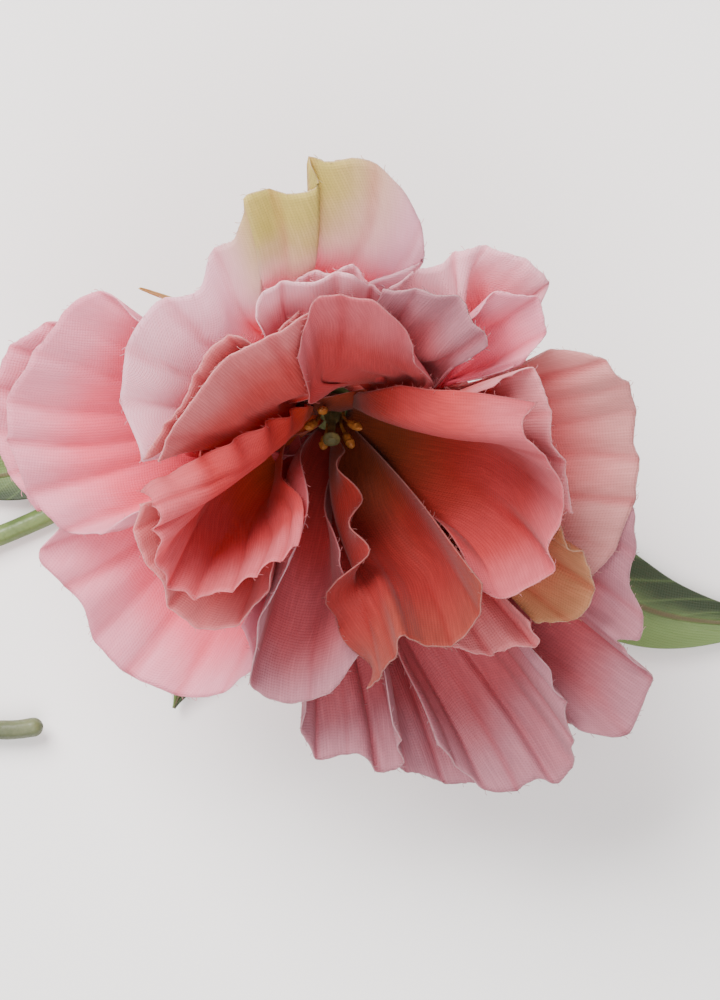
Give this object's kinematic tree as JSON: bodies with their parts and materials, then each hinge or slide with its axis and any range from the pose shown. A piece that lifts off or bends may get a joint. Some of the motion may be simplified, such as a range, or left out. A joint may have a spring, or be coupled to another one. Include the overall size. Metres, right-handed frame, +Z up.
{
  "type": "lisianthus flower",
  "caption": "Open double lisianthus bloom with ruffled cloth petals on a cut stem with pointed leaves, lying on its side with the face turned up.",
  "frame": {"origin": "middle of the footprint on the surface the flower lies on", "axes": "+Z up, +X the way the right-hand leaf points, away from the cut end of the stem; the bloom faces up and nods 24 degrees towards -Y"},
  "size_m": [0.1653, 0.0856, 0.0767],
  "materials": {
    "petal_coral": "fine woven cloth, coral deepening to dark red in the throat",
    "petal_pink": "fine woven cloth, pale lilac pink at the rim",
    "pistil_green": "matte",
    "stamen_ochre": "matte",
    "receptacle_green": "matte",
    "calyx_green": "matte",
    "sepal_green": "matte",
    "stem_green": "satin",
    "shoot_green": "satin",
    "leaf_green": "waxed cloth, veined"
  },
  "bodies": {
    "root": {"petal_inner_lower_right": "petal_coral", "petal_inner_right": "petal_coral", "petal_inner_low": "petal_coral", "petal_inner_left": "petal_coral", "petal_inner_top": "petal_coral", "petal_inner_upper_left": "petal_coral", "petal_middle_upper_left": "petal_pink", "petal_middle_left": "petal_pink", "petal_middle_low_right": "petal_pink", "petal_middle_lower_right": "petal_pink", "petal_middle_right": "petal_pink", "petal_middle_top": "petal_pink", "petal_middle_top_right": "petal_pink", "petal_middle_top_left": "petal_pink", "petal_middle_top_back": "petal_pink", "petal_outer_low": "petal_pink", "petal_outer_low_right": "petal_pink", "petal_outer_right": "petal_pink", "petal_outer_lower_right": "petal_pink", "petal_outer_top_right": "petal_pink", "petal_outer_top": "petal_pink", "petal_outer_left": "petal_pink", "petal_outer_lower_left": "petal_pink", "petal_back_left": "petal_pink", "petal_back_low": "petal_pink", "petal_back_lower_right": "petal_pink", "pistil": "pistil_green", "stamen_1": "stamen_ochre", "stamen_2": "stamen_ochre", "stamen_3": "stamen_ochre", "stamen_4": "stamen_ochre", "stamen_5": "stamen_ochre", "receptacle": "receptacle_green", "calyx": "calyx_green", "sepal_1": "sepal_green", "sepal_2": "sepal_green", "sepal_3": "sepal_green", "sepal_4": "sepal_green", "sepal_5": "sepal_green", "stem": "stem_green", "side_shoot": "shoot_green", "leaf_right": "leaf_green", "leaf_left": "leaf_green", "leaf_lower_left": "leaf_green"}
  },
  "joints": []
}
